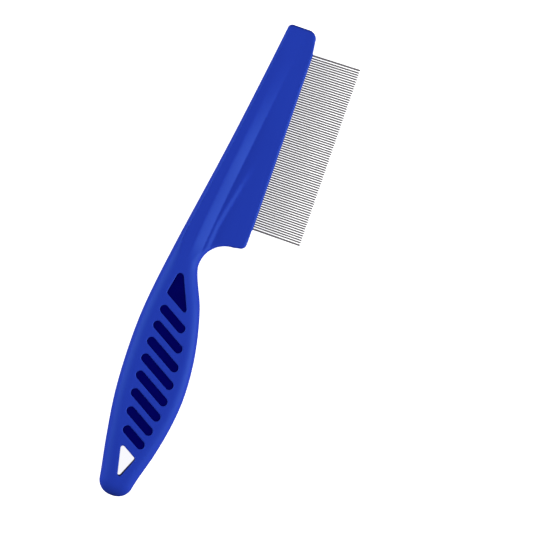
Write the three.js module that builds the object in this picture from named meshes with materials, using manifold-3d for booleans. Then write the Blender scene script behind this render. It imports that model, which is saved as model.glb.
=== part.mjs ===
// Flea comb: a handle and head moulded in one piece, a soft grip core moulded through the handle's
// windows, and a strip of fine steel tines seated in a slot along the head. Millimetres.
//
// +X points out along the tines, +Y up the comb to its tip and +Z out of its front face. While it is
// drawn, x is 0 on the tines' root line, y is 0 at the handle's end and z is 0 at half thickness. The
// finished comb lies on its back face, with the origin under the middle of its outer box.

import * as THREE from 'three';
import { mergeVertices } from 'three/addons/utils/BufferGeometryUtils.js';
import Module from 'manifold-3d';

// The handle and head, seen from the front. An inset is measured back from the root line.
const gripLength = 90.4; // handle's end to the neck
const endRadius = 6.4; // round end of the handle
const endRoundness = 2.2; // 2 is a circle, more is squarer
const endInset = 17.3; // to the middle of the round end
const gripInset = 3.8; // to the tooth side of the grip, where it is widest
const gripWidth = 25.4;
const neckInset = 14.6;
const neckWidth = 11.4;
const tipInset = 0.8;
const tipWidth = 10.95;
const backHollow = 0.53; // how far the back of the head dips in from a straight line
const archRadius = 10; // finger arch under the head
const undersideRise = 0.4; // the head's lower edge climbs this much towards the tines
const lowerCorner = 2.4;
const tipCorner = 3.3;
const backCorner = 1.6;
const lowerMargin = 8.9; // head's lower edge to the first tine
const upperMargin = 8.45; // last tine to the tip

// Thicknesses, and the widths of the sloped bands beside the flat face.
const gripThickness = 11;
const endThickness = 6.4;
const endRun = 12; // length over which the handle's end thins
const webWall = 1; // head's wall on either side of the strip's slot
const partingLand = 0.6; // half height of the flat moulding line round the edge
const frontShoulder = 5;
const backShoulder = 5.25;
const headBackShoulder = 1.3;
const landAtNeck = 6.3; // flat face beside the back edge
const landAtTip = 3.3;
const slopeRun = 4; // fall from the flat face to the web
const webBevel = 0.7; // along the head's tooth edge
const webBevelShare = 0.7; // and no deeper than this share of the wall
const fadeLength = 11; // the raised back fades out this far below the tip
const fadePower = 1.4; // over 1 keeps it thick for longer before it falls away
const tipRound = 1; // length over which the head thins at its tip
const tipThinning = 0.3; // share of the thickness lost there
const crownPower = 0.85; // 1 makes the shoulders' crowns round, less makes them squarer
const widestShoulder = 0.42; // share of the width that one shoulder may take

// Windows in the grip and the soft core that fills them.
const slotCount = 8;
const slotWidth = 3.25;
const slotTilt = THREE.MathUtils.degToRad(30.5);
const firstSlot = 22.73; // handle's end to the lowest slot's centre
const lastSlotToNeck = 21.6;
const slotPitchGrowth = 0.09; // each step from slot to slot is this much longer than the last
const topBarExtra = 0.3; // the bar under the pointed window is this much wider still
const slotBackMargin = 5.47;
const slotFrontMargin = 5.23;
const topWindowRadius = 1.35; // of the pointed window's upper corner
const topWindowDrop = 6.3; // neck to that corner's centre
const topWindowInset = 7.1; // back edge to that corner's centre
const topWindowLeft = 0.3; // its lower corners stand this far left of the top slot's ends
const topWindowRight = 1;
const cornerRadius = 0.8; // of the pointed window and the hang hole
const hangHoleRise = 8.6; // handle's end to the centre of the hole's lowest corner
const hangHoleHeight = 9.4;
const hangHoleWidth = 4.9;
const coreRecess = 0.35; // core face below the flat face
const coreGap = 0.1;
const runnerWidth = 3; // the bridge that ties the core's bars together inside the handle
const runnerThickness = 3;

// Tines and the strip that holds them.
const hairpinCount = 38;
const tinePitch = 0.87;
const guardGap = 1; // end tine to its neighbour
const tineLength = 18.35; // root line to tip
const lowerSplay = THREE.MathUtils.degToRad(-0.35); // the row fans out a little towards the tip
const upperSplay = THREE.MathUtils.degToRad(1.5);
const wireRadius = 0.28;
const guardRadius = 0.34;
const tineTaper = 0.6; // length of the blunt point
const tineTipShare = 0.5; // point's end radius over the wire's
const pinGap = 0.05; // tine to the hole it is pressed in
const guardHeadRadius = 0.48;
const guardHeadThickness = 0.5;
const stripProud = 0.3; // strip past the head's edge
const stripDepth = 5;
const stripThickness = 2.6;
const stripMargin = 0.7; // end tine to the strip's end
const stripGap = 0.1;
const crownRoom = 1; // behind the strip, for the hairpins' bends

const blue = { color: 0x2340be, roughness: 0.35, metalness: 0 };
const navy = { color: 0x04075f, roughness: 0.75, metalness: 0 };
const steel = { color: 0xb9bbc0, roughness: 0.28, metalness: 1 };

const rowLength = (2 * hairpinCount - 1) * tinePitch + 2 * guardGap;
const headBase = gripLength + archRadius;
const rowStart = headBase + lowerMargin;
const rowEnd = rowStart + rowLength;
const tip = rowEnd + upperMargin;
const webThickness = stripThickness + 2 * stripGap + 2 * webWall; // flat part of the head

const wasm = await Module();
wasm.setup();

// three.js geometry to a solid for joining and cutting, and back.
function solid(geometry) {
  const bare = geometry.clone();
  bare.deleteAttribute('normal');
  bare.deleteAttribute('uv');
  const merged = mergeVertices(bare, 1e-4);
  const vertProperties = merged.attributes.position.array;
  const triVerts = new Uint32Array(merged.index.array);
  return new wasm.Manifold(new wasm.Mesh({ numProp: 3, vertProperties, triVerts }));
}

function geometryOf(body) {
  const made = body.getMesh();
  const geometry = new THREE.BufferGeometry();
  geometry.setAttribute('position', new THREE.BufferAttribute(made.vertProperties, 3));
  geometry.setIndex(new THREE.BufferAttribute(made.triVerts, 1));
  return geometry;
}

function piece(name, geometry, finish) {
  const mesh = new THREE.Mesh(geometry, new THREE.MeshStandardMaterial(finish));
  mesh.name = name;
  return mesh;
}

function box(x0, x1, y0, y1, halfZ) {
  const geometry = new THREE.BoxGeometry(x1 - x0, y1 - y0, 2 * halfZ);
  return solid(geometry.translate((x0 + x1) / 2, (y0 + y1) / 2, 0));
}

// ---- Outline -----------------------------------------------------------------------------------

// A smooth x for every y through a few points, with given slopes at its two ends.
function smoothThrough(points, startSlope, endSlope) {
  const last = points.length - 1;
  const slopes = points.map((point, i) => {
    if (i === 0) return startSlope;
    if (i === last) return endSlope;
    return (points[i + 1][1] - points[i - 1][1]) / (points[i + 1][0] - points[i - 1][0]);
  });
  return (y) => {
    let i = 0;
    while (i < last - 1 && y > points[i + 1][0]) i += 1;
    const run = points[i + 1][0] - points[i][0];
    const t = THREE.MathUtils.clamp((y - points[i][0]) / run, 0, 1);
    const rise = points[i + 1][1] - points[i][1];
    const bend = (1 - t) * slopes[i] * run - t * slopes[i + 1] * run + (2 * t - 1) * rise;
    return points[i][1] + t * rise + t * (1 - t) * bend;
  };
}

// Half a chord of a circle, at a distance from its centre.
function chord(radius, distance) {
  return Math.sqrt(Math.max(radius * radius - distance * distance, 0));
}

// Half the width of the handle's round end, which gives way to the grip's sides near its widest.
function endHalf(y) {
  const share = 1 - THREE.MathUtils.clamp(y / endRadius, 0, 1);
  return endRadius * (1 - share ** endRoundness) ** (1 / endRoundness);
}

const endJoin = 0.8 * endRadius; // where the round end gives way to the sides
const endSlope = 0.15; // slope of the back there
const endToothSlope = 0.2; // and of the tooth side
const tipSlopeShare = 0.88; // slope of the head's back at the tip over its mean slope
const neckBack = -(neckInset + neckWidth);
const tipBack = -(tipInset + tipWidth);
const gripBack = -(gripInset + gripWidth);
const headSlope = (tipBack - neckBack) / (tip - gripLength);

const backSide = smoothThrough(
  [
    [endJoin, -endInset - endHalf(endJoin)],
    [0.22 * gripLength, gripBack + 0.118 * gripWidth],
    [0.4 * gripLength, gripBack + 0.03 * gripWidth],
    [0.59 * gripLength, gripBack],
    [0.77 * gripLength, gripBack + 0.022 * gripWidth],
    [gripLength, neckBack],
    [(gripLength + tip) / 2, (neckBack + tipBack) / 2 + backHollow],
    [tip, tipBack],
  ],
  -endSlope,
  tipSlopeShare * headSlope,
);

const gripFrontSide = smoothThrough(
  [
    [endJoin, -endInset + endHalf(endJoin)],
    [0.22 * gripLength, -gripInset - 0.125 * gripWidth],
    [0.37 * gripLength, -gripInset - 0.025 * gripWidth],
    [0.5 * gripLength, -gripInset],
    [0.66 * gripLength, -gripInset - 0.055 * gripWidth],
    [0.83 * gripLength, -gripInset - 0.2 * gripWidth],
    [0.955 * gripLength, 0.95 - neckInset],
    [gripLength, -neckInset],
  ],
  endToothSlope,
  0,
);

function backEdge(y) {
  if (y < endJoin) return -endInset - endHalf(y);
  const cornerStart = tip - backCorner;
  if (y > cornerStart) return backSide(cornerStart) + backCorner - chord(backCorner, y - cornerStart);
  return backSide(y);
}

function frontEdge(y) {
  const lowerCornerStart = headBase + undersideRise;
  const lowerCornerEnd = lowerCornerStart + lowerCorner;
  const draftStart = rowEnd + stripMargin + stripGap;
  const tipCornerStart = tip - tipCorner;
  if (y < endJoin) return -endInset + endHalf(y);
  if (y < gripLength) return gripFrontSide(y);
  if (y <= headBase) return archRadius - neckInset - chord(archRadius, y - gripLength);
  const cornerCentre = -stripProud - lowerCorner;
  if (y < lowerCornerStart) {
    const along = (y - headBase) / undersideRise;
    return THREE.MathUtils.lerp(archRadius - neckInset, cornerCentre, along);
  }
  if (y < lowerCornerEnd) return cornerCentre + chord(lowerCorner, lowerCornerEnd - y);
  if (y < draftStart) return -stripProud;
  if (y > tipCornerStart) return -tipInset - tipCorner + chord(tipCorner, y - tipCornerStart);
  return THREE.MathUtils.mapLinear(y, draftStart, tipCornerStart, -stripProud, -tipInset);
}

// ---- Handle and head ---------------------------------------------------------------------------

// Half the thickness at the flat face: level along the grip, thinner at the end and up the head.
function faceHeight(y) {
  const full = gripThickness / 2;
  const web = webThickness / 2;
  if (y < endRun) {
    const drop = full - endThickness / 2;
    return full - drop * (1 - chord(endRun, endRun - y) / endRun);
  }
  const fade = THREE.MathUtils.mapLinear(y, headBase, tip - fadeLength, 0, 1);
  return THREE.MathUtils.lerp(full, web + 0.05, THREE.MathUtils.clamp(fade, 0, 1) ** fadePower);
}

const landWidth = smoothThrough(
  [
    [gripLength, landAtNeck],
    [gripLength + 0.37 * (tip - gripLength), 0.3 * landAtNeck + 0.7 * landAtTip],
    [tip, landAtTip],
  ],
  -0.08,
  0,
);

// A crowned fall from a face to an edge: share of the way across and share of the height left.
function crownedFall(share) {
  const angle = (share * Math.PI) / 2;
  return [Math.sin(angle) ** crownPower, Math.cos(angle) ** crownPower];
}

// The front half of one cross-section, from the back edge over the face to the tooth side.
function sectionFront(y) {
  const back = backEdge(y);
  const front = frontEdge(y);
  const height = faceHeight(y);
  const web = webThickness / 2;
  const bevel = Math.min(webBevel, webBevelShare * webWall);
  const widest = widestShoulder * (front - back);
  const headness = THREE.MathUtils.smoothstep(y, gripLength - archRadius / 2, headBase);
  const backRun = Math.min(THREE.MathUtils.lerp(backShoulder, headBackShoulder, headness), widest);
  const frontRun = Math.min(frontShoulder, widest);
  const points = [];
  for (const share of [1, 0.6, 0.3, 0]) {
    const [across, up] = crownedFall(share);
    points.push([back + backRun * (1 - across), partingLand + (height - partingLand) * up]);
  }
  const crease = back + landWidth(y);
  const toe = crease + slopeRun;
  const head = [
    [crease, height],
    [(crease + toe) / 2, (height + web) / 2],
    [toe, web],
    [front - bevel, web],
    [front, web - bevel],
  ];
  for (const [i, [headX, headZ]] of head.entries()) {
    const [across, up] = crownedFall(i / 4);
    const gripX = front - frontRun * (1 - across);
    const gripZ = partingLand + (height - partingLand) * up;
    points.push([
      THREE.MathUtils.lerp(gripX, headX, headness),
      THREE.MathUtils.lerp(gripZ, headZ, headness),
    ]);
  }
  return points;
}

// Heights at which a section is drawn: close together round the end, the arch and the corners.
function sectionHeights() {
  const heights = [];
  const round = (start, radius, steps, rising) => {
    for (let i = 1; i <= steps; i += 1) {
      const angle = (i / steps) * (Math.PI / 2);
      heights.push(start + radius * (rising ? Math.sin(angle) : 1 - Math.cos(angle)));
    }
  };
  const even = (from, to, steps) => {
    for (let i = 1; i <= steps; i += 1) heights.push(THREE.MathUtils.lerp(from, to, i / steps));
  };
  heights.push(0.004 * endRadius);
  round(0, endJoin, 4, false);
  even(endJoin, endRun, 2);
  even(endRun, gripLength, 14);
  round(gripLength, archRadius, 8, true);
  heights.push(headBase + undersideRise);
  round(headBase + undersideRise, lowerCorner, 4, false);
  even(headBase + undersideRise + lowerCorner, tip - tipCorner, 11);
  round(tip - tipCorner, tipCorner, 5, true);
  return heights;
}

// The whole moulding before it is cut: sections joined one to the next and closed at both ends.
function blankBody() {
  const positions = [];
  const heights = sectionHeights();
  for (const y of heights) {
    const thinned = 1 - tipThinning * Math.max(0, (y - tip + tipRound) / tipRound) ** 2;
    const front = sectionFront(y).map(([x, z]) => [x, z * thinned]);
    const ring = [...front, ...front.map(([x, z]) => [x, -z]).reverse()];
    for (const [x, z] of ring) positions.push(x, y, z);
  }
  const count = positions.length / 3 / heights.length;
  const index = [];
  for (let row = 0; row < heights.length - 1; row += 1) {
    for (let i = 0; i < count; i += 1) {
      const a = row * count + i;
      const b = row * count + ((i + 1) % count);
      index.push(a, b, a + count, b, b + count, a + count);
    }
  }
  const top = (heights.length - 1) * count;
  for (let i = 0; i < count / 2 - 1; i += 1) {
    const far = count - 1 - i;
    index.push(i, far, i + 1, i + 1, far, far - 1);
    index.push(top + i, top + i + 1, top + far, top + i + 1, top + far - 1, top + far);
  }
  const geometry = new THREE.BufferGeometry();
  geometry.setAttribute('position', new THREE.Float32BufferAttribute(positions, 3));
  geometry.setIndex(index);
  return solid(geometry);
}

// ---- Windows -----------------------------------------------------------------------------------

// The outline pulled tight round two or more circles, given anticlockwise as [x, y, radius].
function tightOutline(circles, shrink) {
  const normals = circles.map(([x, y, radius], i) => {
    const [nextX, nextY, nextRadius] = circles[(i + 1) % circles.length];
    const direction = Math.atan2(nextY - y, nextX - x);
    const distance = Math.hypot(nextX - x, nextY - y);
    return direction - Math.acos((radius - nextRadius) / distance);
  });
  const shape = new THREE.Shape();
  circles.forEach(([x, y, radius], i) => {
    const before = normals[(i + circles.length - 1) % circles.length];
    shape.absarc(x, y, radius - shrink, before, normals[i], false);
  });
  return shape;
}

function plate(outline, halfZ) {
  const options = { depth: 2 * halfZ, bevelEnabled: false, curveSegments: 3 };
  return solid(new THREE.ExtrudeGeometry(outline, options).translate(0, 0, -halfZ));
}

// How far up the handle a slot's middle is. The steps between slots grow evenly.
function slotMiddle(number) {
  const steps = slotCount - 1;
  const growth = (count) => (slotPitchGrowth * count * (count - 1)) / 2;
  const firstStep = (gripLength - lastSlotToNeck - firstSlot - growth(steps)) / steps;
  return firstSlot + number * firstStep + growth(number);
}

// A slot's end circle lies a margin inside the edge, on the slanted line through the slot's middle.
function slotCircles(number) {
  const middleY = slotMiddle(number);
  const inner = slotWidth / 2;
  const backX = (y) => backEdge(y) + slotBackMargin + inner;
  const frontX = (y) => frontEdge(y) - slotFrontMargin - inner;
  const middleX = (backX(middleY) + frontX(middleY)) / 2;
  const endOn = (edge) => {
    let y = middleY;
    for (let i = 0; i < 6; i += 1) y = middleY - (edge(y) - middleX) * Math.tan(slotTilt);
    return [edge(y), y, inner];
  };
  return [endOn(backX), endOn(frontX)];
}

// The pointed window above the slots: its lower side runs parallel to them, one bar further up.
function topWindowCircles() {
  const [lastBack, lastFront] = slotCircles(slotCount - 1);
  const nextStep = slotMiddle(slotCount) - slotMiddle(slotCount - 1) + topBarExtra;
  const step = nextStep + (cornerRadius - slotWidth / 2) / Math.cos(slotTilt);
  const lineY = (x) => lastBack[1] + step - (x - lastBack[0]) * Math.tan(slotTilt);
  const leftX = lastBack[0] - topWindowLeft;
  const rightX = lastFront[0] - topWindowRight;
  const top = gripLength - topWindowDrop;
  return [
    [backEdge(top) + topWindowInset, top, topWindowRadius],
    [leftX, lineY(leftX), cornerRadius],
    [rightX, lineY(rightX), cornerRadius],
  ];
}

// The hole the comb hangs by: a triangle standing on its point, its top side parallel to the slots.
function hangHoleCircles() {
  const leftX = -endInset - 0.4 * hangHoleWidth;
  const rightX = leftX + hangHoleWidth;
  const top = hangHoleRise + hangHoleHeight;
  return [
    [leftX, top, cornerRadius],
    [-endInset + 0.1, hangHoleRise, cornerRadius],
    [rightX, top - hangHoleWidth * Math.tan(slotTilt), cornerRadius],
  ];
}

const windows = [];
for (let number = 0; number < slotCount; number += 1) windows.push(slotCircles(number));
windows.push(topWindowCircles());

// The bridge runs up the middle of the slots, from the lowest one into the pointed window.
function runner(gap) {
  const middles = windows.slice(0, slotCount).map(([a, b]) => (a[0] + b[0]) / 2);
  const middle = middles.reduce((sum, x) => sum + x, 0) / slotCount;
  const half = runnerWidth / 2 + gap;
  const [, left, right] = windows[slotCount];
  const top = (left[1] + right[1]) / 2 + cornerRadius;
  return box(middle - half, middle + half, firstSlot, top + gap, runnerThickness / 2 + gap);
}

function handleBody() {
  const through = gripThickness;
  let body = blankBody();
  for (const circles of windows) body = body.subtract(plate(tightOutline(circles, 0), through));
  body = body.subtract(plate(tightOutline(hangHoleCircles(), 0), through));
  body = body.subtract(runner(coreGap));
  const pocketEnd = stripMargin + stripGap;
  const pocketHalf = stripThickness / 2 + stripGap;
  const floor = -stripDepth - crownRoom;
  const pocket = box(floor, stripProud, rowStart - pocketEnd, rowEnd + pocketEnd, pocketHalf);
  return geometryOf(body.subtract(pocket));
}

function gripCore() {
  const half = gripThickness / 2 - coreRecess;
  let core = runner(0);
  for (const circles of windows) core = core.add(plate(tightOutline(circles, coreGap), half));
  return geometryOf(core);
}

// ---- Tines -------------------------------------------------------------------------------------

// Where each tine stands: a guard tine, then the hairpins' legs two by two, then a guard tine.
const firstLeg = rowStart + guardGap;
const hairpinMiddles = [];
for (let i = 0; i < hairpinCount; i += 1) {
  hairpinMiddles.push(firstLeg + (2 * i + 0.5) * tinePitch);
}

// How far a tine leans from +X towards the tip, where it stands in the row.
function splayAt(y) {
  return THREE.MathUtils.mapLinear(y, rowStart, rowEnd, lowerSplay, upperSplay);
}

// A round pin along +X: [x, radius] pairs turned about its own axis, with six sides.
function turned(profile) {
  const points = profile.map(([x, radius]) => new THREE.Vector2(radius, x));
  return new THREE.LatheGeometry(points, 6);
}

// A hairpin is a straight wire, pointed at both ends, bent back on itself at the middle.
function hairpin() {
  const bendRadius = tinePitch / 2;
  const leg = tineLength + stripDepth;
  const bendLength = Math.PI * bendRadius;
  const whole = 2 * leg + bendLength;
  const bendSteps = 4;
  const profile = [[0, 0], [0, wireRadius * tineTipShare], [tineTaper, wireRadius]];
  for (let i = 0; i <= bendSteps; i += 1) {
    profile.push([leg + (i / bendSteps) * bendLength, wireRadius]);
  }
  profile.push([whole - tineTaper, wireRadius], [whole, wireRadius * tineTipShare], [whole, 0]);
  const wire = turned(profile);
  const position = wire.attributes.position;
  for (let i = 0; i < position.count; i += 1) {
    const aside = position.getX(i);
    const along = position.getY(i);
    const turn = THREE.MathUtils.clamp((along - leg) / bendRadius, 0, Math.PI);
    const reach = bendRadius - aside;
    const straight = along < leg ? leg - along : Math.max(0, along - leg - bendLength);
    position.setX(i, straight - stripDepth - reach * Math.sin(turn));
    position.setY(i, -reach * Math.cos(turn));
  }
  return wire;
}

// A guard tine is thicker, and headed behind the strip in place of a bend.
function guardTine() {
  const head = -stripDepth - guardHeadThickness - pinGap;
  const shaft = head + guardHeadThickness;
  return turned([
    [head, 0],
    [head, guardHeadRadius],
    [shaft, guardHeadRadius],
    [shaft, guardRadius],
    [tineLength - tineTaper, guardRadius],
    [tineLength, guardRadius * tineTipShare],
    [tineLength, 0],
  ]).rotateZ(-Math.PI / 2);
}

function tineStrip() {
  const start = rowStart - stripMargin;
  const end = rowEnd + stripMargin;
  let strip = box(-stripDepth, 0, start, end, stripThickness / 2);
  const bore = (y, aside, radius) => {
    const past = 1;
    const [from, to] = [-stripDepth - past, past];
    const hole = turned([[from, 0], [from, radius], [to, radius], [to, 0]]);
    hole.rotateZ(-Math.PI / 2).translate(0, aside, 0);
    return solid(hole.rotateZ(splayAt(y)).translate(0, y, 0));
  };
  const holes = [bore(rowStart, 0, guardRadius + pinGap), bore(rowEnd, 0, guardRadius + pinGap)];
  for (const middle of hairpinMiddles) {
    for (const side of [-1, 1]) holes.push(bore(middle, (side * tinePitch) / 2, wireRadius + pinGap));
  }
  for (const hole of holes) strip = strip.subtract(hole);
  return geometryOf(strip);
}

// ---- Assembly ----------------------------------------------------------------------------------

const comb = new THREE.Group();
comb.add(piece('handle_body', handleBody(), blue));
comb.add(piece('grip_core', gripCore(), navy));
comb.add(piece('tine_strip', tineStrip(), blue));

hairpinMiddles.forEach((middle, i) => {
  const pin = piece('hairpin_' + String(i + 1).padStart(2, '0'), hairpin(), steel);
  pin.position.y = middle;
  pin.rotation.z = splayAt(middle);
  comb.add(pin);
});
for (const [name, y] of [['guard_tine_lower', rowStart], ['guard_tine_upper', rowEnd]]) {
  const pin = piece(name, guardTine(), steel);
  pin.position.y = y;
  pin.rotation.z = splayAt(y);
  comb.add(pin);
}

// The outer box runs from the grip's back to the tine tips and from the handle's end to the tip.
const outer = new THREE.Box3().setFromObject(comb);
const middle = outer.getCenter(new THREE.Vector3());
comb.position.set(-middle.x, -middle.y, -outer.min.z);

export default comb;
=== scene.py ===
# Flea comb: a handle and head moulded in one piece, a soft navy grip core that fills the handle's
# windows, a strip seated along the head and a row of fine steel tines pressed into it.

import math

import bpy
import numpy as np
from mathutils import Matrix, Vector
from mathutils.geometry import delaunay_2d_cdt


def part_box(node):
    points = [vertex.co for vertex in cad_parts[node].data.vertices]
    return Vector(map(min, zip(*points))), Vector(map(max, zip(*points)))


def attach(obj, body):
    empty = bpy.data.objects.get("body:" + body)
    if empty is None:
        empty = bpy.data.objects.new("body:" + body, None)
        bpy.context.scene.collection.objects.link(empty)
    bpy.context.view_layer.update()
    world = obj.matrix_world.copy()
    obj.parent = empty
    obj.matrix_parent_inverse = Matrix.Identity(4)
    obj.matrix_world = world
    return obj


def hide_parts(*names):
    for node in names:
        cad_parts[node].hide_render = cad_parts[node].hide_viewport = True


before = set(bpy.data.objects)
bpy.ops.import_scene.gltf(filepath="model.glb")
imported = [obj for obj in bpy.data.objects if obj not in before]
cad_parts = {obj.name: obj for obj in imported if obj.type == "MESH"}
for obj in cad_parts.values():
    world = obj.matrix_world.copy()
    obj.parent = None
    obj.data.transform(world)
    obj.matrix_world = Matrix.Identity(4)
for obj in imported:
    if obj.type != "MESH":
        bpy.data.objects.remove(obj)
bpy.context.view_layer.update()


# ---- Camera ---------------------------------------------------------------------------------
# A long lens looks almost straight down on the comb, which lies with its tip up and to the right.
# It leans a little from the comb's back, so the far wall of the hang hole just shows.

# Sizes are millimetres in the comb's own drawing frame: x is 0 on the tines' root line and grows
# along the tines, y is 0 at the handle's end and grows to the tip, z is 0 at half thickness.

MM = 0.001
GRIP_LENGTH = 90.4
ARCH_RADIUS = 10.0
LOWER_MARGIN = 8.9
STRIP_MARGIN = 0.7
HEAD_BASE = GRIP_LENGTH + ARCH_RADIUS
ROW_START = HEAD_BASE + LOWER_MARGIN

body_low, body_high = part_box("handle_body")
strip_low, strip_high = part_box("tine_strip")
origin = Vector((
    strip_high[0],
    strip_low[1] - (ROW_START - STRIP_MARGIN) * MM,
    (body_low[2] + body_high[2]) / 2,
))


def at(x, y, z):
    """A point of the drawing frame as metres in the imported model's frame."""
    return (origin.x + x * MM, origin.y + y * MM, origin.z + z * MM)


LOOK_AT = (13.4, 95.85, 0)
LENS = 400.0
SENSOR = 36.0
FAR_CLIP = 20.0
VIEW_WIDTH = 202.35
TURN = math.radians(19.06)
LEAN = math.radians(3.6)
LEAN_TOWARDS = math.radians(172)

target = Vector(at(*LOOK_AT))
back = Vector((
    math.sin(LEAN) * math.cos(LEAN_TOWARDS),
    math.sin(LEAN) * math.sin(LEAN_TOWARDS),
    math.cos(LEAN),
))
page_up = Vector((-math.sin(TURN), math.cos(TURN), 0))
right = page_up.cross(back).normalized()
up = back.cross(right)
distance = VIEW_WIDTH * MM * LENS / SENSOR

camera_data = bpy.data.cameras.new("camera")
camera_data.lens = LENS
camera_data.sensor_width = SENSOR
camera_data.clip_end = FAR_CLIP
camera = bpy.data.objects.new("camera", camera_data)
bpy.context.scene.collection.objects.link(camera)
turned = Matrix((right, up, back)).transposed().to_4x4()
camera.matrix_world = Matrix.Translation(target + distance * back) @ turned
bpy.context.scene.camera = camera


# ---- Handle and head ------------------------------------------------------------------------
# One injection moulding in royal blue ABS. The grip is thick and crowned, the head thins from a
# raised back down to a flat web, and nine windows and a hang hole go right through.

UPPER_MARGIN = 8.45
TINE_PITCH = 0.87
GUARD_GAP = 1.0
HAIRPINS = 38
END_RADIUS = 6.4
END_ROUNDNESS = 2.2
END_INSET = 17.3
END_LEFT_OUT = 0.2  # the share of the round end's radius that the two sides take over
END_BACK_SLOPE = -0.15
END_TOOTH_SLOPE = 0.2
GRIP_INSET = 3.8
GRIP_WIDTH = 25.4
NECK_INSET = 14.6
NECK_WIDTH = 11.4
TIP_INSET = 0.8
TIP_WIDTH = 10.95
BACK_HOLLOW = 0.53
TIP_SLOPE_SHARE = 0.88
NECK_FLARE = 0.95
OUTLINE_STEP = 0.42
UNDERSIDE_RISE = 0.4
LOWER_CORNER = 2.4
TIP_CORNER = 3.3
BACK_CORNER = 1.6
STRIP_PROUD = 0.3
STRIP_DEPTH = 5.0
STRIP_THICKNESS = 2.6
STRIP_GAP = 0.1
CROWN_ROOM = 1.0

ROW_END = ROW_START + (2 * HAIRPINS - 1) * TINE_PITCH + 2 * GUARD_GAP
TIP = ROW_END + UPPER_MARGIN
END_JOIN = (1 - END_LEFT_OUT) * END_RADIUS
NECK_BACK = -(NECK_INSET + NECK_WIDTH)
TIP_BACK = -(TIP_INSET + TIP_WIDTH)
GRIP_BACK = -(GRIP_INSET + GRIP_WIDTH)


def end_half(y):
    """Half the width of the handle's round end."""
    share = 1 - min(max(y / END_RADIUS, 0), 1)
    return END_RADIUS * (1 - share ** END_ROUNDNESS) ** (1 / END_ROUNDNESS)


def smooth_through(points, start_slope, end_slope):
    """A smooth x for every y through a few points, with given slopes at its two ends."""
    ys = np.array([p[0] for p in points])
    xs = np.array([p[1] for p in points])
    slopes = np.empty(len(ys))
    slopes[0] = start_slope
    slopes[-1] = end_slope
    slopes[1:-1] = (xs[2:] - xs[:-2]) / (ys[2:] - ys[:-2])

    def curve(y):
        i = np.clip(np.searchsorted(ys, y, side="right") - 1, 0, len(ys) - 2)
        run = ys[i + 1] - ys[i]
        t = np.clip((y - ys[i]) / run, 0, 1)
        rise = xs[i + 1] - xs[i]
        bend = (1 - t) * slopes[i] * run - t * slopes[i + 1] * run + (2 * t - 1) * rise
        return xs[i] + t * rise + t * (1 - t) * bend

    return curve


# The two long sides, each as places up the handle and how far out the edge lies there.

back_side = smooth_through(
    [
        (END_JOIN, -END_INSET - end_half(END_JOIN)),
        (0.22 * GRIP_LENGTH, GRIP_BACK + 0.118 * GRIP_WIDTH),
        (0.4 * GRIP_LENGTH, GRIP_BACK + 0.03 * GRIP_WIDTH),
        (0.59 * GRIP_LENGTH, GRIP_BACK),
        (0.77 * GRIP_LENGTH, GRIP_BACK + 0.022 * GRIP_WIDTH),
        (GRIP_LENGTH, NECK_BACK),
        ((GRIP_LENGTH + TIP) / 2, (NECK_BACK + TIP_BACK) / 2 + BACK_HOLLOW),
        (TIP, TIP_BACK),
    ],
    END_BACK_SLOPE,
    TIP_SLOPE_SHARE * (TIP_BACK - NECK_BACK) / (TIP - GRIP_LENGTH),
)
tooth_side = smooth_through(
    [
        (END_JOIN, -END_INSET + end_half(END_JOIN)),
        (0.22 * GRIP_LENGTH, -GRIP_INSET - 0.125 * GRIP_WIDTH),
        (0.37 * GRIP_LENGTH, -GRIP_INSET - 0.025 * GRIP_WIDTH),
        (0.5 * GRIP_LENGTH, -GRIP_INSET),
        (0.66 * GRIP_LENGTH, -GRIP_INSET - 0.055 * GRIP_WIDTH),
        (0.83 * GRIP_LENGTH, -GRIP_INSET - 0.2 * GRIP_WIDTH),
        (0.955 * GRIP_LENGTH, NECK_FLARE - NECK_INSET),
        (GRIP_LENGTH, -NECK_INSET),
    ],
    END_TOOTH_SLOPE,
    0,
)


def arc(x, y, radius, start, end, steps=24):
    """Points on a round stretch, between two angles in degrees."""
    angles = np.radians(np.linspace(start, end, steps + 1))
    return np.column_stack((x + radius * np.cos(angles), y + radius * np.sin(angles)))


def evenly(points, step):
    """The same closed line with its points a step apart."""
    closed = np.vstack((points, points[:1]))
    length = np.concatenate(([0], np.cumsum(np.hypot(*np.diff(closed, axis=0).T))))
    count = max(8, round(length[-1] / step))
    along = np.arange(count) * length[-1] / count
    return np.column_stack([np.interp(along, length, closed[:, k]) for k in (0, 1)])


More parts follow.
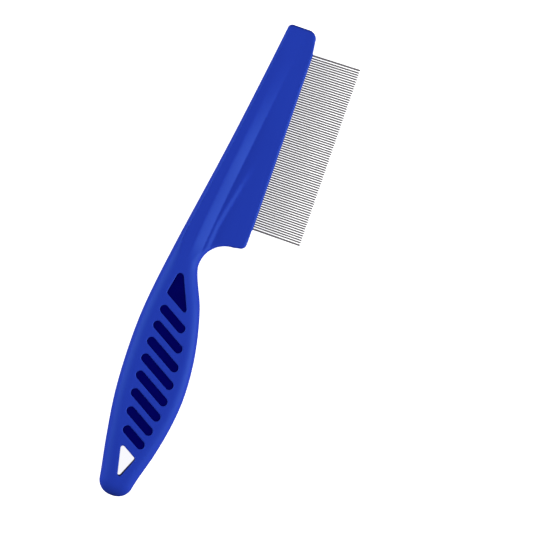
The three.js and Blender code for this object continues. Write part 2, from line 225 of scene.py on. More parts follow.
def comb_outline():
    """Anticlockwise from the handle's end, up the tooth side, round the tip and down the back."""
    angles = np.linspace(0, math.acos(END_LEFT_OUT ** (END_ROUNDNESS / 2)), 24)
    end_y = END_RADIUS * (1 - np.cos(angles) ** (2 / END_ROUNDNESS))
    half = END_RADIUS * np.sin(angles) ** (2 / END_ROUNDNESS)
    grip_y = np.linspace(END_JOIN, GRIP_LENGTH, 200)
    corner_y = TIP - BACK_CORNER
    back_y = np.linspace(corner_y, END_JOIN, 400)
    corner_x = back_side(corner_y) + BACK_CORNER
    underside_x = -STRIP_PROUD - LOWER_CORNER
    underside_y = HEAD_BASE + UNDERSIDE_RISE + LOWER_CORNER
    draft_start = ROW_END + STRIP_MARGIN + STRIP_GAP
    return np.vstack((
        np.column_stack((-END_INSET + half, end_y)),
        np.column_stack((tooth_side(grip_y), grip_y))[1:],
        arc(ARCH_RADIUS - NECK_INSET, GRIP_LENGTH, ARCH_RADIUS, 180, 90)[1:],
        arc(underside_x, underside_y, LOWER_CORNER, -90, 0),
        [(-STRIP_PROUD, draft_start)],
        arc(-TIP_INSET - TIP_CORNER, TIP - TIP_CORNER, TIP_CORNER, 0, 90),
        arc(corner_x, corner_y, BACK_CORNER, 90, 180),
        np.column_stack((back_side(back_y), back_y))[1:],
        np.column_stack((-END_INSET - half, end_y))[-2:0:-1],
    ))


# The windows: eight slanted slots and a pointed window above them. Each is the line pulled tight
# round two or three circles, given anticlockwise as x, y and radius.

SLOTS = 8
SLOT_WIDTH = 3.25
SLOT_TILT = math.radians(30.5)
FIRST_SLOT = 22.73
LAST_SLOT_TO_NECK = 21.6
SLOT_PITCH_GROWTH = 0.09
TOP_BAR_EXTRA = 0.3
SLOT_BACK_MARGIN = 5.47
SLOT_TOOTH_MARGIN = 5.23
TOP_WINDOW_RADIUS = 1.35
TOP_WINDOW_DROP = 6.3
TOP_WINDOW_INSET = 7.1
TOP_WINDOW_LEFT = 0.3
TOP_WINDOW_RIGHT = 1.0
CORNER_RADIUS = 0.8
HANG_HOLE_RISE = 8.6
HANG_HOLE_HEIGHT = 9.4
HANG_HOLE_WIDTH = 4.9
HANG_HOLE_LEFT_SHARE = 0.4
HANG_HOLE_FOOT = 0.1
WINDOW_STEP = 0.4
HANG_HOLE_STEP = 0.3


def slot_middle(number):
    """How far up the handle a slot's middle is. The steps between slots grow evenly."""
    def growth(count):
        return SLOT_PITCH_GROWTH * count * (count - 1) / 2

    steps = SLOTS - 1
    first_step = (GRIP_LENGTH - LAST_SLOT_TO_NECK - FIRST_SLOT - growth(steps)) / steps
    return FIRST_SLOT + number * first_step + growth(number)


def slot_circles(number):
    """A slot's two round ends. The slot tilts down towards the tooth side."""
    middle_y = slot_middle(number)
    inner = SLOT_WIDTH / 2

    def back_x(y):
        return back_side(y) + SLOT_BACK_MARGIN + inner

    def tooth_x(y):
        return tooth_side(y) - SLOT_TOOTH_MARGIN - inner

    middle_x = (back_x(middle_y) + tooth_x(middle_y)) / 2
    ends = []
    for side in (back_x, tooth_x):
        # The end slides along the slanted middle line until it meets its margin from the edge.
        y = middle_y
        for _ in range(6):
            y = middle_y - (side(y) - middle_x) * math.tan(SLOT_TILT)
        ends.append((float(side(y)), float(y), inner))
    return ends


def top_window_circles():
    """The pointed window's three corners, above a bar a little wider than the rest."""
    last_back, last_tooth = slot_circles(SLOTS - 1)
    next_step = slot_middle(SLOTS) - slot_middle(SLOTS - 1) + TOP_BAR_EXTRA
    step = next_step + (CORNER_RADIUS - SLOT_WIDTH / 2) / math.cos(SLOT_TILT)
    left_x = last_back[0] - TOP_WINDOW_LEFT
    right_x = last_tooth[0] - TOP_WINDOW_RIGHT
    top = GRIP_LENGTH - TOP_WINDOW_DROP

    def line_y(x):
        return last_back[1] + step - (x - last_back[0]) * math.tan(SLOT_TILT)

    return [
        (float(back_side(top)) + TOP_WINDOW_INSET, top, TOP_WINDOW_RADIUS),
        (left_x, line_y(left_x), CORNER_RADIUS),
        (right_x, line_y(right_x), CORNER_RADIUS),
    ]


def hang_hole_circles():
    """The hang hole's three corners: its upper side runs with the slots."""
    left_x = -END_INSET - HANG_HOLE_LEFT_SHARE * HANG_HOLE_WIDTH
    top = HANG_HOLE_RISE + HANG_HOLE_HEIGHT
    return [
        (left_x, top, CORNER_RADIUS),
        (-END_INSET + HANG_HOLE_FOOT, HANG_HOLE_RISE, CORNER_RADIUS),
        (left_x + HANG_HOLE_WIDTH, top - HANG_HOLE_WIDTH * math.tan(SLOT_TILT), CORNER_RADIUS),
    ]


def pulled_tight(circles, shrink=0.0):
    """The line round the circles, with their radii made smaller by shrink."""
    normals = []
    for i, (x, y, radius) in enumerate(circles):
        next_x, next_y, next_radius = circles[(i + 1) % len(circles)]
        away = math.hypot(next_x - x, next_y - y)
        heading = math.atan2(next_y - y, next_x - x)
        normals.append(heading - math.acos((radius - next_radius) / away))
    pieces = []
    for i, (x, y, radius) in enumerate(circles):
        start = math.degrees(normals[i - 1])
        end = math.degrees(normals[i])
        while end < start:
            end += 360
        pieces.append(arc(x, y, radius - shrink, start, end))
    return np.vstack(pieces)


# The thickness. Away from every edge the half height is the flat face on the grip, and on the
# head a raised back that steps down to the web. Near an edge it falls in a crown.

FAR = 99.0
GRIP_THICKNESS = 11.0
END_THICKNESS = 6.4
END_RUN = 12.0
WEB_WALL = 1.0
WEB_THICKNESS = STRIP_THICKNESS + 2 * STRIP_GAP + 2 * WEB_WALL
TIP_RELIEF = 0.05
PARTING = 0.6
TOOTH_SHOULDER = 5.0
BACK_SHOULDER = 5.25
HEAD_SHOULDER = 1.3
TOOTH_EDGE_BEVEL = 0.7
LAND_AT_NECK = 6.3
LAND_AT_TIP = 3.3
LAND_START_SLOPE = -0.08
FADE_LENGTH = 11.0
FADE_POWER = 1.4
CROWN_POWER = 2.353
RIM_ROUND = 0.45

# The relief beside the raised back's flat land: an upper slope, a terrace that widens and sinks
# on its way to the tip, and a lower slope down to the web.

UPPER_SLOPE_RUN = 4.1
UPPER_SLOPE_POWER = 1.25
LOWER_SLOPE_RUN = 2.2
TERRACE_HEIGHT = 0.28
TERRACE_WIDTH = 0.4
TERRACE_SPREAD = 0.1
TERRACE_SPREAD_START = 107
TERRACE_SPREAD_LENGTH = 30
TERRACE_FADE = (118, 135)

# Where one shape of edge turns into another, as a place to start and a place to end.

BACK_TO_TOOTH = (2, 8)
BEVEL_FROM_TINES = (-2.2, -1.2)
BEVEL_PAST_ROW = (3, 5)
TIP_EDGE_END = 2
WIDEST_SHOULDER = 0.42

land_width = smooth_through(
    [
        (GRIP_LENGTH, LAND_AT_NECK),
        (GRIP_LENGTH + 0.37 * (TIP - GRIP_LENGTH), 0.3 * LAND_AT_NECK + 0.7 * LAND_AT_TIP),
        (TIP, LAND_AT_TIP),
    ],
    LAND_START_SLOPE,
    0,
)


def blend(low, high, share):
    """Part of the way from one value to another."""
    return low + (high - low) * share


def eased(value, start, end):
    """A share that rises smoothly from 0 at the start to 1 at the end."""
    t = np.clip((value - start) / (end - start), 0, 1)
    return t * t * (3 - 2 * t)


def face_height(y):
    """Half the thickness at the flat face."""
    full = GRIP_THICKNESS / 2
    drop = full - END_THICKNESS / 2
    short = np.clip(END_RUN - y, 0, END_RUN)
    end_fall = drop * (1 - np.sqrt(END_RUN ** 2 - short ** 2) / END_RUN)
    fade = np.clip((y - HEAD_BASE) / (TIP - FADE_LENGTH - HEAD_BASE), 0, 1)
    return blend(full, WEB_THICKNESS / 2 + TIP_RELIEF, fade ** FADE_POWER) - end_fall


def head_height(x, y):
    """The raised back: a crisp crease, a slope, a narrow terrace, a lower slope, then the web."""
    web = WEB_THICKNESS / 2
    raised = face_height(y) - web
    past = x - back_side(y) - land_width(y)
    terrace = TERRACE_HEIGHT * (1 - eased(y, *TERRACE_FADE))
    down = np.clip(past / UPPER_SLOPE_RUN, 0, 1) ** UPPER_SLOPE_POWER
    upper = blend(terrace, 1, 1 - down)
    spread = TERRACE_SPREAD * np.clip(y - TERRACE_SPREAD_START, 0, TERRACE_SPREAD_LENGTH)
    edge = UPPER_SLOPE_RUN + TERRACE_WIDTH + spread
    lower = 1 - eased(past, edge, edge + LOWER_SLOPE_RUN)
    return web + raised * np.where(past < UPPER_SLOPE_RUN, upper, terrace * lower)


def half_height(points, from_edge, from_holes):
    """Half the thickness, with the crown at the outline and a round rim at the openings."""
    x, y = points.T
    headness = eased(y, GRIP_LENGTH - ARCH_RADIUS / 2, HEAD_BASE)
    across = eased(x - back_side(y), *BACK_TO_TOOTH)
    width = np.where(y < GRIP_LENGTH, tooth_side(y) - back_side(y), FAR)
    grip_run = np.minimum(blend(BACK_SHOULDER, TOOTH_SHOULDER, across), WIDEST_SHOULDER * width)
    near_row, past_row = BEVEL_PAST_ROW
    bevelled = eased(x, *BEVEL_FROM_TINES) * eased(y, ROW_START - past_row, ROW_START - near_row)
    bevelled = bevelled * (1 - eased(y, ROW_END + near_row, ROW_END + past_row))
    head_run = blend(HEAD_SHOULDER, TOOTH_EDGE_BEVEL, bevelled)
    web_base = WEB_THICKNESS / 2 - head_run
    tip_edge = eased(y, TIP - FADE_LENGTH, TIP - TIP_EDGE_END)
    head_base = blend(PARTING, web_base, np.maximum(across, tip_edge))
    top = blend(face_height(y), head_height(x, y), headness)
    run = blend(grip_run, head_run, headness)
    base = blend(PARTING, head_base, headness)
    near = np.clip(1 - from_edge / run, 0, 1)
    height = base + (top - base) * (1 - near ** CROWN_POWER) ** (1 / CROWN_POWER)
    rim = np.clip(RIM_ROUND - from_holes, 0, RIM_ROUND)
    return height - (RIM_ROUND - np.sqrt(RIM_ROUND ** 2 - rim ** 2))


# Plates. An outline with holes in it is filled with flat triangles, whose points run in rings
# beside each edge and loose between them. It then gets a height above and below, and walls.

EDGE_CLEAR = 0.28
HOLE_CLEAR = 0.22
BATCH = 2000


def distance_to(points, loops):
    """How far each point is from the nearest of the closed lines, worked out in batches."""
    nearest = np.full(len(points), 1e9)
    for loop in loops:
        run = np.roll(loop, -1, axis=0) - loop
        length = (run ** 2).sum(axis=1)
        for first in range(0, len(points), BATCH):
            some = slice(first, first + BATCH)
            away = points[some, None, :] - loop[None]
            t = np.clip((away * run[None]).sum(axis=2) / length[None], 0, 1)
            gap = np.hypot(*(away - t[..., None] * run[None]).transpose(2, 0, 1)).min(axis=1)
            nearest[some] = np.minimum(nearest[some], gap)
    return nearest


def inside(points, loop):
    """Whether each point is inside a closed line, by counting crossings."""
    x, y = points[:, 0][:, None], points[:, 1][:, None]
    x0, y0 = loop.T
    x1, y1 = np.roll(loop, -1, axis=0).T
    spans = (y0 > y) != (y1 > y)
    with np.errstate(divide="ignore", invalid="ignore"):
        crossing = x0 + (y - y0) * (x1 - x0) / (y1 - y0)
    return (spans & (x < crossing)).sum(axis=1) % 2 == 1


def stepped_in(loop, step):
    """A closed line moved inwards, or outwards where the step is negative."""
    run = np.roll(loop, -1, axis=0) - np.roll(loop, 1, axis=0)
    run = run / np.hypot(*run.T)[:, None]
    return loop + step * np.column_stack((-run[:, 1], run[:, 0]))


def flat_triangles(outline, holes, edge_steps, hole_steps, inner):
    """Points and anticlockwise triangles, with rings at each step and inner points between."""
    loops = [stepped_in(outline, step) for step in edge_steps]
    for hole in holes:
        loops += [stepped_in(hole, -step) for step in hole_steps]
    clear = inside(inner, outline) & (distance_to(inner, [outline]) > edge_steps[-1] + EDGE_CLEAR)
    if holes:
        clear &= distance_to(inner, holes) > hole_steps[-1] + HOLE_CLEAR
    for hole in holes:
        clear &= ~inside(inner, hole)
    flat = np.vstack(loops + [inner[clear]])
    edges = []
    start = 0
    for loop in loops:
        count = len(loop)
        edges += [(start + i, start + (i + 1) % count) for i in range(count)]
        start += count
    made = delaunay_2d_cdt([Vector(p) for p in flat], edges, [], 0, 1e-6)
    flat = np.array([tuple(p) for p in made[0]])
    faces = np.array([f for f in made[2] if len(f) == 3])
    middles = flat[faces].mean(axis=1)
    keep = inside(middles, outline)
    for hole in holes:
        keep &= ~inside(middles, hole)
    used, faces = np.unique(faces[keep], return_inverse=True)
    flat = flat[used]
    faces = faces.reshape(-1, 3)
    a, b, c = (flat[faces[:, k]] for k in range(3))
    area = (b[:, 0] - a[:, 0]) * (c[:, 1] - a[:, 1]) - (b[:, 1] - a[:, 1]) * (c[:, 0] - a[:, 0])
    faces[area < 0] = faces[area < 0][:, ::-1]
    return flat, faces


def open_sides(faces):
    """The sides that only one triangle has, in order: the edges of the sheet."""
    sides = {}
    for face in faces.tolist():
        for k in range(3):
            pair = (face[k], face[(k + 1) % 3])
            if pair[::-1] in sides:
                del sides[pair[::-1]]
            else:
                sides[pair] = True
    return sides


def plate(name, outline, holes, edge_steps, hole_steps, inner, heights, turn, wall_steps=1):
    """A closed mesh with so many rows of faces up its walls.

    heights(points, from_edge, from_holes) gives the upper and lower surface, and turn(a, b, height)
    puts a point where it belongs in the drawing frame.
    """
    flat, faces = flat_triangles(outline, holes, edge_steps, hole_steps, inner)
    from_edge = distance_to(flat, [outline])
    from_holes = distance_to(flat, holes) if holes else np.full(len(flat), FAR)
    upper, lower = heights(flat, from_edge, from_holes)
    sides = open_sides(faces)
    count = len(flat)
    points = [turn(p[0], p[1], h) for p, h in zip(flat, upper)]
    points += [turn(p[0], p[1], h) for p, h in zip(flat, lower)]
    polygons = faces.tolist() + (faces[:, ::-1] + count).tolist()
    rows = {}
    for level in range(1, wall_steps):
        for i in {i for pair in sides for i in pair}:
            rows[(i, level)] = len(points)
            height = blend(upper[i], lower[i], level / wall_steps)
            points.append(turn(flat[i][0], flat[i][1], height))
    for i, j in sides:
        for level in range(wall_steps):
            top_i = rows.get((i, level), i)
            top_j = rows.get((j, level), j)
            low_i = rows.get((i, level + 1), i + count)
            low_j = rows.get((j, level + 1), j + count)
            polygons.append((low_i, low_j, top_j, top_i))
    mesh = bpy.data.meshes.new(name)
    mesh.from_pydata([at(*p) for p in points], [], polygons)
    mesh.validate()
    return mesh


def added(name, mesh, crisp_over=40):
    """A finished piece: smooth faces, with an edge kept crisp where it turns by more than this."""
    mesh.polygons.foreach_set("use_smooth", [True] * len(mesh.polygons))
    mesh.set_sharp_from_angle(angle=math.radians(crisp_over))
    piece = bpy.data.objects.new(name, mesh)
    bpy.context.scene.collection.objects.link(piece)
    return piece


def block(name, low, high):
    """A plain box between two corners, used to cut a pocket or make the core's bridge."""
    corners = [(x, y, z) for x in (low[0], high[0]) for y in (low[1], high[1])
               for z in (low[2], high[2])]
    faces = [(0, 1, 3, 2), (4, 6, 7, 5), (0, 4, 5, 1), (2, 3, 7, 6), (0, 2, 6, 4), (1, 5, 7, 3)]
    mesh = bpy.data.meshes.new(name)
    mesh.from_pydata([at(*c) for c in corners], [], faces)
    piece = bpy.data.objects.new(name, mesh)
    bpy.context.scene.collection.objects.link(piece)
    return piece


def joined_or_cut(piece, tools, operation):
    """Adds or cuts away the tools, which are then thrown away."""
    for tool in tools:
        cut = piece.modifiers.new("cut", "BOOLEAN")
        cut.operation = operation
        cut.solver = "EXACT"
        cut.object = tool
    seen = piece.evaluated_get(bpy.context.evaluated_depsgraph_get())
    mesh = bpy.data.meshes.new_from_object(seen)
    bpy.data.objects.remove(piece)
    for tool in tools:
        bpy.data.objects.remove(tool)
    return mesh


def grid_beside_back(low_y, high_y, step_y, offsets):
    """Rows of points that follow the edge of the raised back."""
    ys = np.arange(low_y, high_y, step_y)
    start = back_side(ys) + land_width(ys)
    return np.vstack([np.column_stack((start + offset, ys)) for offset in offsets])


windows = [slot_circles(number) for number in range(SLOTS)] + [top_window_circles()]
outline = evenly(comb_outline(), OUTLINE_STEP)
openings = [evenly(pulled_tight(circles), WINDOW_STEP) for circles in windows]
openings.append(evenly(pulled_tight(hang_hole_circles()), HANG_HOLE_STEP))
on_land = np.arange(-9, -0.6, 0.55)
on_relief = np.arange(-0.45, 8, 0.35)
on_web = np.arange(8.3, 25, 0.55)
inner = grid_beside_back(0.3, TIP, 0.6, np.concatenate((on_land, on_relief, on_web)))


def body_heights(points, from_edge, from_holes):
    """The same face on both sides."""
    height = half_height(points, from_edge, from_holes)
    return height, -height


def lying(x, y, z):
    """A plate that lies as it is drawn."""
    return (x, y, z)


crown_steps = (0, 0.02, 0.07, 0.16, 0.3, 0.5, 0.75, 1.0, 1.25, 1.5)
rim_steps = (0, 0.03, 0.1, 0.2, 0.34, 0.5)
body_mesh = plate(
    "handle_moulding", outline, openings, crown_steps, rim_steps, inner, body_heights, lying, 3,
)

RUNNER_WIDTH = 3.0
RUNNER_THICKNESS = 3.0
CORE_GAP = 0.1
runner_x = sum((a[0] + b[0]) / 2 for a, b in windows[:SLOTS]) / SLOTS
runner_top = (windows[SLOTS][1][1] + windows[SLOTS][2][1]) / 2 + CORNER_RADIUS


def runner(gap):
    """The bridge inside the handle, made bigger by a gap where it cuts its tunnel."""
    half = RUNNER_WIDTH / 2 + gap
    thick = RUNNER_THICKNESS / 2 + gap
    low = (runner_x - half, FIRST_SLOT, -thick)
    return block("runner", low, (runner_x + half, runner_top + gap, thick))


pocket_end = STRIP_MARGIN + STRIP_GAP
pocket_half = STRIP_THICKNESS / 2 + STRIP_GAP
pocket = block(
    "pocket",
    (-STRIP_DEPTH - CROWN_ROOM, ROW_START - pocket_end, -pocket_half),
    (STRIP_PROUD, ROW_END + pocket_end, pocket_half),
)
body = added("handle_moulding", body_mesh)
body = added("handle_moulding", joined_or_cut(body, [runner(CORE_GAP), pocket], "DIFFERENCE"))


def srgb(code):
    """A hex colour as the linear values that a shader takes."""
    parts = [int(code[i:i + 2], 16) / 255 for i in (1, 3, 5)]
    return tuple(p / 12.92 if p <= 0.04045 else ((p + 0.055) / 1.055) ** 2.4 for p in parts) + (1,)


def node(tree, kind, settings=None, **inputs):
    """Adds a node. Inputs are named or numbered as in i0, and take a value or another's socket."""
    made = tree.nodes.new(kind)
    for name, value in (settings or {}).items():
        setattr(made, name, value)
    for name, value in inputs.items():
        if name[0] == "i" and name[1:].isdigit():
            socket = made.inputs[int(name[1:])]
        else:
            socket = made.inputs[name.replace("_", " ")]
        if isinstance(value, bpy.types.NodeSocket):
            tree.links.new(value, socket)
        else:
            socket.default_value = value
    return made


def new_material(name):
    material = bpy.data.materials.new(name)
    material.use_nodes = True
    material.node_tree.nodes.clear()
    return material, material.node_tree


def gloss_moulded_abs(name, deep, bright, roughness):
    """Moulded ABS, which gives an even deep colour with broad soft highlights.

    Faint flow streaks 9 mm wide and 55 mm long run along the mould. The orange peel is drawn
    1.6 mm wide and the grain that breaks up the gloss 0.5 mm, coarser than real, so they show.
    """
    material, tree = new_material(name)
    place = node(tree, "ShaderNodeTexCoord").outputs["Object"]
    along = node(tree, "ShaderNodeMapping", Vector=place, Scale=(1000 / 9, 1000 / 55, 1000 / 9))
    flow = node(tree, "ShaderNodeTexNoise", Vector=along.outputs[0], Scale=1.0, Detail=3.0)
    colour = node(
        tree, "ShaderNodeMix", {"data_type": "RGBA"},
        i0=flow.outputs[0], i6=srgb(deep), i7=srgb(bright),
    )
    grain = node(tree, "ShaderNodeTexNoise", Vector=place, Scale=1000 / 0.5, Detail=2.0)
    gloss = node(
        tree, "ShaderNodeMapRange",
        Value=grain.outputs[0], To_Min=roughness - 0.05, To_Max=roughness + 0.05,
    )
    peel = node(tree, "ShaderNodeTexNoise", Vector=place, Scale=1000 / 1.6, Detail=1.0)
    bump = node(
        tree, "ShaderNodeBump", Strength=0.35, Distance=0.00002, Height=peel.outputs[0],
    )
    shader = node(
        tree, "ShaderNodeBsdfPrincipled",
        Base_Color=colour.outputs[2], Roughness=gloss.outputs[0], IOR=1.53,
        Specular_IOR_Level=0.2, Specular_Tint=srgb("#6CC0F0"), Normal=bump.outputs[0],
    )
    node(tree, "ShaderNodeOutputMaterial", Surface=shader.outputs[0])
    return material


body.data.materials.clear()
body.data.materials.append(gloss_moulded_abs("gloss_royal_blue_abs", "#253DBB", "#2945C7", 0.5))
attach(body, "root")
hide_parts("handle_body")


# ---- Grip core ------------------------------------------------------------------------------
# A soft navy elastomer, moulded through the handle's windows in a second shot. Its nine bars stand
# just below the blue face on both sides, and a bridge inside the handle ties them together.

CORE_RECESS = 0.35
CORE_ROUND = 0.3
CORE_OVERLAP = 0.04  # the bars reach this far into the window's walls, so no gap shows
BAR_GRID = 0.5


def core_heights(points, from_edge, _):
    level = face_height(points[:, 1]) - CORE_RECESS
    rim = np.clip(CORE_ROUND - from_edge, 0, CORE_ROUND)
    height = level - (CORE_ROUND - np.sqrt(CORE_ROUND ** 2 - rim ** 2))
    return height, -height


bars = []
for number, circles in enumerate(windows):
    bar_outline = evenly(pulled_tight(circles, -CORE_OVERLAP), WINDOW_STEP)
    low, high = bar_outline.min(axis=0), bar_outline.max(axis=0)
    xs, ys = np.meshgrid(*[np.arange(low[k], high[k], BAR_GRID) for k in (0, 1)])
    bar_mesh = plate(
        "bar", bar_outline, [], (0, 0.03, 0.1, 0.2, 0.32), (),
        np.column_stack((xs.ravel(), ys.ravel())), core_heights, lying, 4,
    )
    bars.append(added(f"bar_{number}", bar_mesh))
core = added("grip_core_bars", joined_or_cut(runner(0), bars, "UNION"))


def soft_moulded_elastomer(name, deep, bright):
    """Matt elastomer, which gives a dark even colour with no gloss.

    The grain of its spark-eroded mould is 0.35 mm wide, and its colour drifts over 6 mm patches.
    """
    material, tree = new_material(name)
    place = node(tree, "ShaderNodeTexCoord").outputs["Object"]
    grain = node(tree, "ShaderNodeTexNoise", Vector=place, Scale=1000 / 0.35, Detail=3.0)
    patches = node(tree, "ShaderNodeTexNoise", Vector=place, Scale=1000 / 6, Detail=2.0)
    colour = node(
        tree, "ShaderNodeMix", {"data_type": "RGBA"},
        i0=patches.outputs[0], i6=srgb(deep), i7=srgb(bright),
    )
    dull = node(
        tree, "ShaderNodeMapRange", Value=grain.outputs[0], To_Min=0.55, To_Max=0.75,
    )
    bump = node(tree, "ShaderNodeBump", Strength=0.4, Distance=0.00003, Height=grain.outputs[0])
    shader = node(
        tree, "ShaderNodeBsdfPrincipled",
        Base_Color=colour.outputs[2], Roughness=dull.outputs[0], IOR=1.48,
        Normal=bump.outputs[0], Specular_IOR_Level=0.02,
    )
    node(tree, "ShaderNodeOutputMaterial", Surface=shader.outputs[0])
    return material


core.data.materials.clear()
core.data.materials.append(soft_moulded_elastomer("matt_navy_elastomer", "#000058", "#00016A"))
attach(core, "root")
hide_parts("grip_core")


# ---- Tine strip -----------------------------------------------------------------------------
# A blue ABS strip, drilled for every tine and pressed into the slot along the head's edge. Its
# front face stands a little proud, with a rounded rim and a slight countersink round each tine.

WIRE_RADIUS = 0.28
GUARD_RADIUS = 0.34
PIN_GAP = 0.05
STRIP_ROUND = 0.35
STRIP_CORNER = 0.4
STRIP_GRID = 0.435
COUNTERSINK = 0.08


def rounded_in(rounding, away):
    rim = np.clip(rounding - away, 0, rounding)
    return rounding - np.sqrt(rounding ** 2 - rim ** 2)


def strip_heights(points, from_edge, from_holes):
    front = -rounded_in(STRIP_ROUND, from_edge) - rounded_in(COUNTERSINK, from_holes)
    return front, np.full(len(points), -STRIP_DEPTH)


strip_half = STRIP_THICKNESS / 2
strip_start = ROW_START - STRIP_MARGIN
strip_end = ROW_END + STRIP_MARGIN
strip_outline = np.vstack((
    arc(strip_start + STRIP_CORNER, -strip_half + STRIP_CORNER, STRIP_CORNER, 180, 270, 5),
    arc(strip_end - STRIP_CORNER, -strip_half + STRIP_CORNER, STRIP_CORNER, 270, 360, 5),
    arc(strip_end - STRIP_CORNER, strip_half - STRIP_CORNER, STRIP_CORNER, 0, 90, 5),
    arc(strip_start + STRIP_CORNER, strip_half - STRIP_CORNER, STRIP_CORNER, 90, 180, 5),
))
first_leg = ROW_START + GUARD_GAP
bores = [(ROW_START, GUARD_RADIUS), (ROW_END, GUARD_RADIUS)]
bores += [(first_leg + i * TINE_PITCH, WIRE_RADIUS) for i in range(2 * HAIRPINS)]
bore_loops = [arc(y, 0, radius + PIN_GAP, 0, 330, 11) for y, radius in bores]
ys, zs = np.meshgrid(np.arange(strip_start, strip_end, STRIP_GRID), (-0.75, -0.5, 0.5, 0.75))


def facing_out(y, z, x):
    """Turns the strip's plate on edge, so its upper face looks along the tines."""
    return (x, y, z)


strip_mesh = plate(
    "tine_strip_rail", evenly(strip_outline, STRIP_GRID), bore_loops, (0, 0.03, 0.1, 0.2, 0.35),
    (0, 0.04, 0.08), np.column_stack((ys.ravel(), zs.ravel())), strip_heights, facing_out,
)
strip = added("tine_strip_rail", strip_mesh)
strip_abs = gloss_moulded_abs("gloss_blue_strip_abs", "#263FB4", "#2A47C0", 0.46)
strip.data.materials.append(strip_abs)
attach(strip, "root")
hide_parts("tine_strip")


# ---- Tines ----------------------------------------------------------------------------------
# Drawn stainless wire, cut, pointed and bent into hairpins of two tines each, whose bends lock
# behind the strip. A thicker headed pin guards each end of the row.

TINE_LENGTH = 18.35
GUARD_HEAD_RADIUS = 0.48
POINT_LENGTH = 0.6
LOWER_SPLAY = math.radians(-0.35)
UPPER_SPLAY = math.radians(1.5)
STRAYING = math.radians(0.12)
SEED = 11

tine_tree = bpy.data.node_groups.new("tine_row", "GeometryNodeTree")
tine_inputs = {
    "Hairpins": ("NodeSocketInt", HAIRPINS),
    "Pitch": ("NodeSocketFloat", TINE_PITCH * MM),
    "Row_Start": ("NodeSocketVector", at(0, ROW_START, 0)),
    "Row_End": ("NodeSocketVector", at(0, ROW_END, 0)),
    "Guard_Gap": ("NodeSocketFloat", GUARD_GAP * MM),
    "Tine_Length": ("NodeSocketFloat", TINE_LENGTH * MM),
    "Seat_Depth": ("NodeSocketFloat", STRIP_DEPTH * MM),
    "Wire_Radius": ("NodeSocketFloat", WIRE_RADIUS * MM),
    "Guard_Radius": ("NodeSocketFloat", GUARD_RADIUS * MM),
    "Guard_Head_Radius": ("NodeSocketFloat", GUARD_HEAD_RADIUS * MM),
    "Point_Length": ("NodeSocketFloat", POINT_LENGTH * MM),
    "Lower_Splay": ("NodeSocketFloat", LOWER_SPLAY),
    "Upper_Splay": ("NodeSocketFloat", UPPER_SPLAY),
    "Straying": ("NodeSocketFloat", STRAYING),
    "Seed": ("NodeSocketInt", SEED),
    "Steel": ("NodeSocketMaterial", None),
}
for name, (kind, _) in tine_inputs.items():
    tine_tree.interface.new_socket(name, in_out="INPUT", socket_type=kind)
tine_tree.interface.new_socket("Geometry", in_out="OUTPUT", socket_type="NodeSocketGeometry")
given = tine_tree.nodes.new("NodeGroupInput").outputs


def calc(operation, a, b=0.0):
    """One step of arithmetic in the tree."""
    return node(tine_tree, "ShaderNodeMath", {"operation": operation}, i0=a, i1=b).outputs[0]


def picked(index, values):
    """The value that stands at an index."""
    made = tine_tree.nodes.new("GeometryNodeIndexSwitch")
    made.data_type = "FLOAT"
    while len(made.index_switch_items) < len(values):
        made.index_switch_items.new()
    tine_tree.links.new(index, made.inputs[0])
    for socket, value in zip(made.inputs[1:], values):
        if isinstance(value, bpy.types.NodeSocket):
            tine_tree.links.new(value, socket)
        else:
            socket.default_value = value
    return made.outputs[0]


def wire(count, x, y, radius):
    """A round wire of so many stations, with a place and a radius at each."""
    line = node(tine_tree, "GeometryNodeCurvePrimitiveLine", End=(1, 0, 0)).outputs[0]
    stations = node(tine_tree, "GeometryNodeResampleCurve", Curve=line, Count=count).outputs[0]
    spot = node(tine_tree, "ShaderNodeCombineXYZ", X=x, Y=y).outputs[0]
    bent = node(tine_tree, "GeometryNodeSetPosition", Geometry=stations, Position=spot).outputs[0]
    sized = node(tine_tree, "GeometryNodeSetCurveRadius", Curve=bent, Radius=radius).outputs[0]
    ring = node(
        tine_tree, "GeometryNodeCurvePrimitiveCircle", {"mode": "RADIUS"}, Resolution=10, Radius=1.0,
    ).outputs[0]
    made = node(
        tine_tree, "GeometryNodeCurveToMesh", Curve=sized, Profile_Curve=ring, Fill_Caps=True,
    )
    # A Blender whose Curve to Mesh has this input takes the thickness from it.
    if "Scale" in made.inputs:
        tine_tree.links.new(radius, made.inputs["Scale"])
    return made.outputs[0]


# A hairpin has 9 stations round its bend and 4 along the point at the end of each leg. A point
# narrows through shares of the wire's radius, at shares of its own length from the tip.

BEND_STATIONS = 4
POINT_SHARES = (1, 0.35, 0.1)
POINT_RADII = [1.0, 0.85, 0.62, 0.3]
LEG_STATIONS = BEND_STATIONS + len(POINT_RADII)

station = node(tine_tree, "GeometryNodeInputIndex").outputs[0]
bend_radius = calc("MULTIPLY", given["Pitch"], 0.5)
from_middle = calc("SUBTRACT", station, LEG_STATIONS)
in_bend = calc("MAXIMUM", calc("MINIMUM", from_middle, BEND_STATIONS), -BEND_STATIONS)
angle = calc("MULTIPLY", in_bend, math.radians(90 / BEND_STATIONS))
past_bend = calc("MAXIMUM", calc("SUBTRACT", calc("ABSOLUTE", from_middle), BEND_STATIONS), 0)
whole_leg = calc("ADD", given["Tine_Length"], given["Seat_Depth"])


def short_of_point(share):
    """How far a leg reaches from its seat, short of the tip by a share of the point."""
    return calc("SUBTRACT", whole_leg, calc("MULTIPLY", given["Point_Length"], share))


